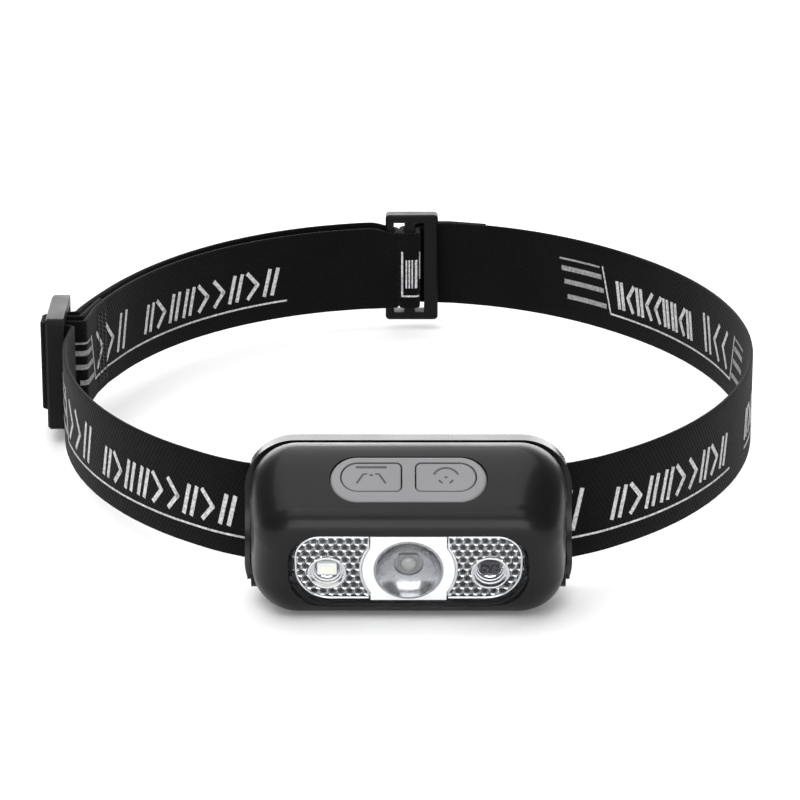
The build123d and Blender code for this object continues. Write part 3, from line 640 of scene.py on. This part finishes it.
def strap_section(s):
    """One closed loop of the strap's surface, as points in millimetres."""
    point, normal = strap_frame(s)
    bunched = bunching(s)
    half = HALF_W * (1 - (1 - NARROW) * bunched)
    thick = HALF_T + SWELL * bunched
    loop = []
    for side, order in ((1, 1), (-1, -1)):
        for column in SECTION_COLUMNS:
            z = order * column * (half - EDGE_R)
            loop.append((side * thick, z))
        for a in SECTION_ANGLES:
            c, q = math.cos(math.radians(a)), math.sin(math.radians(a))
            z = order * (half - EDGE_R + EDGE_R * q)
            loop.append((side * (thick - EDGE_R + EDGE_R * c) if a < 90 else side * c * thick, z))
    sag = SAG * bunched
    return [(point.x + normal.x * out, point.y + normal.y * out, z - sag) for out, z in loop]


def strap_stations():
    """Lengths along the strap: every point of its line, and more between those far apart."""
    stations = []
    for a, b in zip(strap_at, strap_at[1:]):
        if b - a < 1e-4:
            continue
        count = max(1, math.ceil((b - a) / STRAP_STEP))
        stations += [a + (b - a) * i / count for i in range(count)]
    return stations + [STRAP_LENGTH]


def set_weave(mesh, stations):
    """UVs in metres: along the strap and across it, for the vertices of one station after another."""
    layer = mesh.uv_layers.new(name="weave")
    for loop in mesh.loops:
        s, z = stations[loop.vertex_index]
        layer.data[loop.index].uv = (s * MM, (z + HALF_W) * MM)


def build_strap():
    """The strap as one closed surface through its sections, capped at both ends."""
    verts, faces, places = [], [], []
    stations = strap_stations()
    count = 2 * (len(SECTION_COLUMNS) + len(SECTION_ANGLES))
    for s in stations:
        for x, y, z in strap_section(s):
            verts.append((x * MM, y * MM, z * MM))
            places.append((s, z))
    for k in range(len(stations) - 1):
        for i in range(count):
            j = (i + 1) % count
            a, b = k * count, (k + 1) * count
            faces.append((a + i, a + j, b + j, b + i))
    faces.append(tuple(reversed(range(count))))
    last = (len(stations) - 1) * count
    faces.append(tuple(range(last, last + count)))
    strap = new_mesh("strap", verts, faces, webbing, 60)
    set_weave(strap.data, places)
    return strap


strap = build_strap()
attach(strap, "headband")
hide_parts("headband_strap")


# ---------------------------------------------------------------- print on the strap
INK_OUT = HALF_T + 0.07
INK_STEP = 0.5
INK_IN = HALF_T - 0.05
TALL = (-4.4, 4.6)
LOW = (-4.1, 2.9)
PRINT_TOP = 5.2
UNDERLINE_Z = -5.7
MARK_W = 0.95
UNDERLINE_W = 0.42
SLANT_W = 0.4
MARK_FILL = 0.78  # share of its pitch that a mark takes up
STRIPES = ((4.9, 0.45), (2.6, 1.15), (-0.6, 1.15), (-4.2, 1.15))  # height and width of each
STRIPE_GAP = 0.9
STROKE_PAST = 0.3  # share of its width by which a stroke runs past its ends

# strokes of each generic mark in a cell from 0 to 1 both ways
SLASHES = (((0.0, 0), (0.42, 1)), ((0.55, 0), (0.97, 1)))
CHEVRON = (((0.1, 1), (0.8, 0.5)), ((0.8, 0.5), (0.1, 0)))
TALL_ROW = (CHEVRON, CHEVRON, SLASHES)
LOW_ROW = (SLASHES, CHEVRON, SLASHES, SLASHES, CHEVRON, CHEVRON, SLASHES, CHEVRON, SLASHES)


def stroke(a, b, width):
    """A straight stroke as the two edges that run from a to b."""
    along = Vector((b[0] - a[0], b[1] - a[1])).normalized()
    side = Vector((-along.y, along.x)) * width / 2
    past = along * width * STROKE_PAST
    a, b = Vector(a) - past, Vector(b) + past
    return ((a + side, b + side), (a - side, b - side))


def row_of_marks(start, end, heights, marks):
    """Strokes of the marks, spread evenly from start to end."""
    pitch = (end - start) / len(marks)
    strokes = []
    for i, mark in enumerate(marks):
        x, wide = start + i * pitch, pitch * MARK_FILL
        for (ax, az), (bx, bz) in mark:
            low, high = heights[0] + MARK_W / 2, heights[1] - MARK_W / 2
            a = (x + ax * wide, low + (high - low) * az)
            b = (x + bx * wide, low + (high - low) * bz)
            strokes.append(stroke(a, b, MARK_W))
    return strokes


def stripe_block(start, end, lean):
    """The stripes beside a slanted line; lean is how far along the strap the line's foot is from its head."""
    strokes = []
    for z, width in STRIPES:
        shift = lean * (PRINT_TOP - z) / (PRINT_TOP - UNDERLINE_Z)
        edges = []
        for edge_z in (z + width / 2, z - width / 2):
            edges.append((Vector((start + shift, edge_z)), Vector((end + shift, edge_z))))
        strokes.append(tuple(edges))
    return strokes


def slanted_line(head, lean):
    return stroke((head, PRINT_TOP), (head + lean, UNDERLINE_Z), SLANT_W)


def underline(start, end):
    return stroke((start, UNDERLINE_Z), (end, UNDERLINE_Z), UNDERLINE_W)


# start of the stripes, foot of the slanted line, tall row, low row, and whether stripes close the block
PRINT_BLOCKS = (
    (27.5, 38.2, (40.0, 59.8), (66.5, 111.0), False),
    (161.0, 174.0, (176.0, 193.0), (200.0, 242.0), False),
    (288.0, 302.0, (304.0, 324.0), (329.0, 372.0), False),
    (407.0, 421.0, (423.0, 441.0), (447.0, 490.0), False),
    (537.0, 549.5, (552.0, 568.5), (573.0, 603.0), True),
)
FAR_MARKS = (504.0, 518.0)
LEAN = 3.0
UNDERLINE_PAST = 1.0  # how far the underline runs on after its low row
CLOSING_STRIPES = (2.0, 14.0)  # from the end of the low row

# where the strap wraps the ring's middle bar: bars over a short line, hemmed by two taller ones
FOLD_BARS = (661.4, 662.1, 662.8, 663.5)
FOLD_BAR_SPAN = (-4.6, 2.2)
FOLD_BAR_W = 0.34
FOLD_HEMS = ((660.7, -2.5, 4.0), (664.2, -6.6, 4.2))
FOLD_HEM_W = 0.3
FOLD_LINE = ((661.0, -6.7), (664.2, -6.7))


def block_marks(foot, tall, low, closed):
    """A print block's marks, its underline and the slanted line at its start, and at its end if closed."""
    strokes = row_of_marks(*tall, TALL, TALL_ROW)
    strokes += row_of_marks(*low, LOW, LOW_ROW)
    strokes.append(underline(foot, low[1] + UNDERLINE_PAST))
    strokes.append(slanted_line(foot - LEAN, LEAN))
    if closed:
        strokes.append(slanted_line(low[1] + UNDERLINE_PAST + LEAN, -LEAN))
    return strokes


def fold_marks():
    """The print on the strap's fold around the ring's middle bar."""
    low, high = FOLD_BAR_SPAN
    strokes = [stroke((s, low), (s, high), FOLD_BAR_W) for s in FOLD_BARS]
    strokes += [stroke((s, foot), (s, head), FOLD_HEM_W) for s, foot, head in FOLD_HEMS]
    return strokes + [stroke(*FOLD_LINE, UNDERLINE_W)]


marks, stripes = [], []
for start, foot, tall, low, closed in PRINT_BLOCKS:
    marks += block_marks(foot, tall, low, closed)
    stripes += stripe_block(start, foot - LEAN - STRIPE_GAP, LEAN)
    if closed:
        stripes += stripe_block(*(low[1] + LEAN + past for past in CLOSING_STRIPES), -LEAN)
marks += row_of_marks(*FAR_MARKS, LOW, LOW_ROW[:3])
marks.append(underline(*FAR_MARKS))
marks += fold_marks()


def build_print(name, strokes, material):
    """The strokes as thin slabs on both faces of the strap, bent along it."""
    verts, faces, places = [], [], []
    for (a0, a1), (b0, b1) in strokes:
        count = max(1, math.ceil(abs(a1.x - a0.x) / INK_STEP))
        for face in (1, -1):
            base = len(verts)
            for i in range(count + 1):
                pa, pb = a0.lerp(a1, i / count), b0.lerp(b1, i / count)
                for (s, z), out in ((pa, INK_OUT), (pb, INK_OUT), (pb, INK_IN), (pa, INK_IN)):
                    point, normal = strap_frame(s)
                    spot = point + normal * face * (out + SWELL * bunching(s))
                    verts.append((spot.x * MM, spot.y * MM, z * MM))
                    places.append((s, z))
            for i in range(count):
                p, q = base + 4 * i, base + 4 * i + 4
                for k in range(4):
                    j = (k + 1) % 4
                    faces.append((p + k, p + j, q + j, q + k))
            faces.append((base + 3, base + 2, base + 1, base))
            end = base + 4 * count
            faces.append((end, end + 1, end + 2, end + 3))
    piece = new_mesh(name, verts, faces, material, 30)
    set_weave(piece.data, places)
    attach(piece, "headband")
    return piece


mark_ink = print_material("mark_ink", (0.30, 0.30, 0.31), (0.62, 0.62, 0.63))
stripe_ink = print_material("stripe_ink", (0.16, 0.16, 0.165), (0.32, 0.32, 0.325))
strap_marks = build_print("strap_marks", marks, mark_ink)
strap_stripes = build_print("strap_stripes", stripes, stripe_ink)

# ---------------------------------------------------------------- stitching
STITCH_SPAN = 8.0
STITCH_STEP = 0.5
STITCH_SWING = 0.42
THREAD_R = 0.15
THREAD_OUT = HALF_T + 0.08
SLIDER_TACKS = (42.0, 44.2, 46.4)
RING_TACKS = (682.7, 684.8, 687.0)


def bar_tacks(name, places, face, node):
    """Zigzag bars of thread across the strap, on its right-hand face, or on its left with face -1."""
    solid = Solids(Matrix.Identity(4))
    for s in places:
        count = round(2 * STITCH_SPAN / STITCH_STEP)
        path = []
        for i in range(count + 1):
            swing = STITCH_SWING * (1 if i % 2 else -1)
            point, normal = strap_frame(s + swing)
            spot = point + normal * face * THREAD_OUT
            path.append((spot.x, spot.y, -STITCH_SPAN + i * STITCH_STEP))
        solid.tube(path, THREAD_R, sides=6)
    piece = solid.build(name, thread)
    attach(piece, "headband")
    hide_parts(node)
    return piece


slider_tacks = bar_tacks("slider_tacks", SLIDER_TACKS, 1, "slider_stitching")
ring_tacks = bar_tacks("ring_tacks", RING_TACKS, -1, "ring_stitching")


# ================================================================ light unit, in the face plane
BOARD_FRONT = -4.9
WELL = (15.8, -1.4)
MAIN = (0.0, -0.6)
LAND_R = 9.0
LAND_EDGE = 7.4
SLAB_FLOOR = -7.0
HEX_ROWS = 7  # on each side of the middle row
HEX_COLUMNS = 14
HEX_START = 4.6
DIMPLE_RINGS = ((0.72, 0.5), (0.4, 0.87))  # shares of a dimple's radius and depth
WINDOW_HALF_W = 21.85
WINDOW_HALF_H = 7.2
WINDOW_TOP_R = 4.75
WINDOW_LOW_R = 6.85
RIM_R = 0.3
RIM_Z = UNIT_FRONT - 0.2
RIM_STEPS = 12
RIM_GAP = 0.35  # from the land's edge to the rim
# (radius, z) of a well's cup: up over its lip, down its steps inside, then back up outside
CUP_PROFILE = (
    (3.8, -2.25), (3.72, -2.0), (3.5, -1.92), (3.3, -2.0), (3.18, -2.4), (3.12, -2.9), (2.85, -3.0),
    (2.8, -3.5), (2.55, -3.6), (2.5, -4.2), (2.3, -4.35), (2.25, -4.8), (3.1, -4.85), (3.2, -4.4),
    (3.28, -2.6), (3.5, -2.4),
)
honeycomb_chrome_painted_shade = honeycomb_material()


def honeycomb(name, side):
    """A slab whose top is a honeycomb of round dimples, wide enough for one side of the window."""
    radius = HEX_PITCH / math.sqrt(3)
    solid = Solids(FACE)
    cells = {}

    def vertex(x, y, z):
        key = (round(x, 3), round(y, 3), round(z, 3))
        if key not in cells:
            cells[key] = solid.point(x, y, z)
        return cells[key]

    for row in range(-HEX_ROWS, HEX_ROWS + 1):
        for column in range(HEX_COLUMNS):
            cx = side * (HEX_START + (column + 0.5 * (row % 2)) * HEX_PITCH)
            cy = row * radius * 1.5
            corners, middles = [], []
            for k in range(6):
                a = math.radians(30 + 60 * k)
                corners.append(vertex(cx + radius * math.cos(a), cy + radius * math.sin(a), RIDGE_Z))
                ring = []
                for share, depth in DIMPLE_RINGS:
                    ring.append(vertex(
                        cx + share * radius * math.cos(a), cy + share * radius * math.sin(a),
                        RIDGE_Z - HEX_DEPTH * depth,
                    ))
                middles.append(ring)
            bottom = vertex(cx, cy, RIDGE_Z - HEX_DEPTH)
            for k in range(6):
                j = (k + 1) % 6
                solid.faces.append((corners[k], corners[j], middles[j][0], middles[k][0]))
                solid.faces.append((middles[k][0], middles[j][0], middles[j][1], middles[k][1]))
                solid.faces.append((middles[k][1], middles[j][1], bottom))
    slab = solid.build(name, honeycomb_chrome_painted_shade, None)
    bm = bmesh.new()
    bm.from_mesh(slab.data)
    bmesh.ops.remove_doubles(bm, verts=bm.verts, dist=1e-6)
    edges = [e for e in bm.edges if e.is_boundary]
    grown = bmesh.ops.extrude_edge_only(bm, edges=edges)["geom"]
    down = FACE.to_3x3() @ Vector((0, 0, SLAB_FLOOR * MM - RIDGE_Z * MM))
    low = [g for g in grown if isinstance(g, bmesh.types.BMVert)]
    bmesh.ops.translate(bm, vec=down, verts=low)
    bmesh.ops.contextual_create(bm, geom=[e for e in bm.edges if e.is_boundary])
    bmesh.ops.recalc_face_normals(bm, faces=bm.faces)
    bm.to_mesh(slab.data)
    bm.free()
    return slab


def welded_copy(node, name):
    """A copy of a CAD node's mesh with its split vertices joined."""
    mesh = nodes[node].data.copy()
    mesh.name = name
    bm = bmesh.new()
    bm.from_mesh(mesh)
    bmesh.ops.remove_doubles(bm, verts=bm.verts, dist=2e-6)
    bmesh.ops.recalc_face_normals(bm, faces=bm.faces)
    bm.to_mesh(mesh)
    bm.free()
    obj = bpy.data.objects.new(name, mesh)
    scene.collection.objects.link(obj)
    return obj


def applied(obj):
    """Turns obj's modifiers into its mesh."""
    graph = bpy.context.evaluated_depsgraph_get()
    mesh = bpy.data.meshes.new_from_object(obj.evaluated_get(graph))
    obj.modifiers.clear()
    obj.data = mesh


def cut_by(obj, tool, operation):
    """Changes obj by a boolean operation with tool, then removes tool."""
    change = obj.modifiers.new("cut", "BOOLEAN")
    change.operation = operation
    change.solver = "EXACT"
    change.object = tool
    bpy.context.view_layer.update()
    applied(obj)
    bpy.data.objects.remove(tool)


def rim_path(side):
    """Along one side reflector's edge: round the window's end, then back along its waist at the land."""
    inner_x = LAND_EDGE + RIM_GAP
    waist_r = LAND_R + RIM_R
    waist = math.degrees(math.acos(inner_x / waist_r))
    path = [(side * inner_x, WINDOW_HALF_H, RIM_Z)]
    for radius, rise, turn in ((WINDOW_TOP_R, 1, 90), (WINDOW_LOW_R, -1, 0)):
        cx, cy = WINDOW_HALF_W - radius, rise * (WINDOW_HALF_H - radius)
        for i in range(RIM_STEPS + 1):
            a = math.radians(turn - 90 * i / RIM_STEPS)
            path.append((side * (cx + radius * math.cos(a)), cy + radius * math.sin(a), RIM_Z))
    path.append((side * inner_x, -WINDOW_HALF_H, RIM_Z))
    for i in range(RIM_STEPS + 1):
        a = math.radians(waist * (2 * i / RIM_STEPS - 1))
        path.append((side * waist_r * math.cos(a), MAIN[1] + waist_r * math.sin(a), RIM_Z))
    return path


for side, name in ((-1, "left"), (1, "right")):
    reflector = welded_copy(f"{name}_reflector", f"{name}_honeycomb")
    cut_by(reflector, honeycomb("slab", side), "INTERSECT")
    reflector.data.materials.clear()
    reflector.data.materials.append(honeycomb_chrome_painted_shade)
    tidy_mesh(reflector.data, 34)
    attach(reflector, "lamp")
    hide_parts(f"{name}_reflector")

    cup = Solids(FACE)
    cup.lathe(CUP_PROFILE, (side * WELL[0], WELL[1]), count=64, closed=True)
    well = cup.build(f"{name}_well", FINISHES["mirror_chrome"], 35)
    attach(well, "lamp")

    bead = Solids(FACE)
    bead.tube(rim_path(side), RIM_R, sides=10, closed=True)
    rim = bead.build(f"{name}_rim", FINISHES["mirror_chrome"], 50)
    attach(rim, "lamp")

# ---------------------------------------------------------------- light sources and sensor
package_grey = moulded("led_package", (0.20, 0.20, 0.20), 0.06, (0.35, 0.5), 5200.0, 0.00001)
dome_gel = moulded("dome_gel", (0.30, 0.30, 0.285), 0.05, (0.12, 0.2), 3000.0, 0.000006, Coat_Weight=0.6)


def dome(radius, height, z, levels=7):
    """A dome's profile for Solids.lathe, from its foot to near its top."""
    angles = [math.radians(90 * i / levels) for i in range(levels)]
    profile = [(radius * math.cos(a), z + height * math.sin(a)) for a in angles]
    return profile + [(0.02 * radius, z + height)]


def block(half_x, half_y, corner, centre, low, high, bevel=0.12):
    """A box with round corners and a soft upper edge, from low to high above the LED board."""
    solid = Solids(FACE)
    solid.rings(bevelled(
        lambda inset: rounded_box(half_x - inset, half_y - inset, corner, centre),
        BOARD_FRONT + low, BOARD_FRONT + high, bevel,
    ))
    return solid


def piece_of(solid, name, material, node=None, smooth=40, body="lamp"):
    """Builds a solid as a piece that rides on body, and stands for node if one is given."""
    piece = solid.build(name, material, smooth)
    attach(piece, body)
    if node:
        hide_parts(node)
    return piece


FOOT = 0.02  # the parts' feet above the board
RING_FOOT = BOARD_FRONT + 0.55
RING_PROFILE = ((1.78, 0.0), (1.78, 0.15), (1.7, 0.21), (1.6, 0.15), (1.6, 0.0))
LED_SPOT = (-WELL[0], WELL[1] - 0.35)
SENSOR_SPOT = (WELL[0], WELL[1] - 0.2)
EYE_X = 0.92

package = block(1.95, 1.95, 0.3, MAIN, FOOT, 0.6)
piece_of(package, "main_led_package", package_grey, "main_led")
collar = Solids(FACE)
collar.lathe([(radius, RING_FOOT + z) for radius, z in RING_PROFILE], MAIN, closed=True)
piece_of(collar, "main_led_ring", package_grey)
emitter = Solids(FACE)
emitter.lathe(dome(1.58, 0.95, RING_FOOT), MAIN)
piece_of(emitter, "main_led_dome", dome_gel)

chip = block(1.9, 1.35, 0.25, LED_SPOT, FOOT, 1.0)
piece_of(chip, "side_led_package", FINISHES["led_ceramic"], "side_led")
glow = moulded("phosphor", (0.86, 0.85, 0.72), 0.04, (0.3, 0.45), 5200.0, 0.00001)
patch = block(1.45, 0.95, 0.5, LED_SPOT, 0.9, 1.12, bevel=0.1)
piece_of(patch, "side_led_phosphor", glow)

holder = block(1.85, 1.4, 0.3, SENSOR_SPOT, FOOT, 0.8)
piece_of(holder, "sensor_holder", FINISHES["switch_black"], "motion_sensor")
for side, name in ((-1, "sensor_eye_left"), (1, "sensor_eye_right")):
    eye = Solids(FACE)
    eye.lathe(dome(0.82, 0.75, BOARD_FRONT + 0.75), (SENSOR_SPOT[0] + side * EYE_X, SENSOR_SPOT[1]), count=32)
    piece_of(eye, name, FINISHES["sensor_dark"])


# ================================================================ icons on the keys, in the slope plane
ICON_TOP = 0.27
ICON_FOOT = 0.15
ICON_W = 0.42
ICON_BAR_W = 0.5
KEY_X = 7.2
icon_ink = moulded("icon_ink", (0.035, 0.035, 0.037), 0.1, (0.45, 0.6), 4200.0, 0.00001)


def icon(name, body, key_x, lines):
    """Raised lines on the key at key_x; each is a list of points from the key's middle, and its width."""
    solid = Solids(SLOPE)
    for places, width in lines:
        points = [(key_x + x, y) for x, y in places]
        sides = [[], []]
        for i, p in enumerate(points):
            before = Vector(points[max(i - 1, 0)])
            after = Vector(points[min(i + 1, len(points) - 1)])
            along = (after - before).normalized()
            across = Vector((-along.y, along.x)) * width / 2
            sides[0].append(Vector(p) + across)
            sides[1].append(Vector(p) - across)
        outline = [(v.x, v.y) for v in sides[0] + sides[1][::-1]]
        solid.rings([[(x, y, z) for x, y in outline] for z in (ICON_FOOT, ICON_TOP)])
    return piece_of(solid, name, icon_ink, body=body, smooth=None)


def arc(centre, radius, start, end, steps=14):
    """Points of an arc from start to end, in degrees."""
    angles = [math.radians(start + (end - start) * i / steps) for i in range(steps + 1)]
    return [(centre[0] + radius * math.cos(a), centre[1] + radius * math.sin(a)) for a in angles]


# a beam spreading under a bar
icon("mode_key_icon", "mode_button", -KEY_X, (
    (((-3.0, 2.75), (3.0, 2.75)), ICON_BAR_W),
    (((-2.8, -1.05), (-1.5, 1.15), (-0.8, 1.15)), ICON_W),
    (((2.8, -1.05), (1.5, 1.15), (0.8, 1.15)), ICON_W),
    (((-0.35, 0.9), (0.35, 0.9)), ICON_W),
))
# a sensor under the arc it watches
icon("sensor_key_icon", "sensor_button", KEY_X, (
    (arc((0, 0.1), 2.5, 22, 158), ICON_W),
    (arc((0, 0.4), 1.5, 205, 245, 6), ICON_W),
    (arc((0, 0.4), 1.5, 295, 335, 6), ICON_W),
    (((-0.3, 0.4), (0.3, 0.4)), ICON_W),
))

# ================================================================ floor, light and camera
FLOOR_HALF = 3.0
FLOOR_GAP = 0.0002
FLOOR_WHITE = (0.93, 0.93, 0.93, 1.0)
WORLD_STRENGTH = 0.22
CAMERA_PLACE = (-0.00165, -0.77188, 0.26162)
CAMERA_PITCH = math.radians(71.0)
CAMERA_LENS = 168.84
SENSOR_WIDTH = 36.0
# name, place, target, width and height, watts
LIGHTS = (
    ("overhead", (-0.15, 0.1, 1.0), (0, -0.02, 0), (1.5, 1.2), 13.5),
    ("behind", (0.0, 1.25, 0.47), (0, 0, 0.38), (1.8, 0.92), 24.0),
    ("front_high", (-0.1, -0.8, 0.95), (0, -0.08, 0), (1.2, 0.5), 4.5),
    ("front_low", (0.0, -1.25, 0.30), (0, -0.1, 0), (1.3, 0.55), 10.0),
)

floor_mesh = bpy.data.meshes.new("floor")
floor_z = cad_box[0].z - FLOOR_GAP
corners = [(x * FLOOR_HALF, y * FLOOR_HALF, floor_z) for x, y in ((-1, -1), (1, -1), (1, 1), (-1, 1))]
floor_mesh.from_pydata(corners, [], [(0, 1, 2, 3)])
floor = bpy.data.objects.new("floor", floor_mesh)
scene.collection.objects.link(floor)
floor_paint = Shader("floor_paint", Roughness=0.9, Specular_IOR_Level=0.1)
floor_paint.base(FLOOR_WHITE)
floor_mesh.materials.append(floor_paint.mat)

world = bpy.data.worlds.new("studio")
scene.world = world
world.use_nodes = True
tree = world.node_tree
tree.nodes.clear()
out = tree.nodes.new("ShaderNodeOutputWorld")
back = tree.nodes.new("ShaderNodeBackground")
back.inputs["Color"].default_value = (1, 1, 1, 1)
back.inputs["Strength"].default_value = WORLD_STRENGTH
tree.links.new(back.outputs[0], out.inputs[0])


def softbox(name, place, target, size, power):
    """A rectangular soft light at place, facing target."""
    data = bpy.data.lights.new(name, "AREA")
    data.shape = "RECTANGLE"
    data.size, data.size_y = size
    data.energy = power
    light = bpy.data.objects.new(name, data)
    light.location = place
    light.rotation_euler = (Vector(target) - Vector(place)).to_track_quat("-Z", "Y").to_euler()
    scene.collection.objects.link(light)


for light in LIGHTS:
    softbox(*light)

camera_data = bpy.data.cameras.new("camera")
camera_data.sensor_width = SENSOR_WIDTH
camera_data.lens = CAMERA_LENS
camera = bpy.data.objects.new("camera", camera_data)
camera.location = CAMERA_PLACE
camera.rotation_euler = (CAMERA_PITCH, 0, 0)
scene.collection.objects.link(camera)
scene.camera = camera
scene.view_settings.view_transform = "Standard"

bpy.context.view_layer.update()
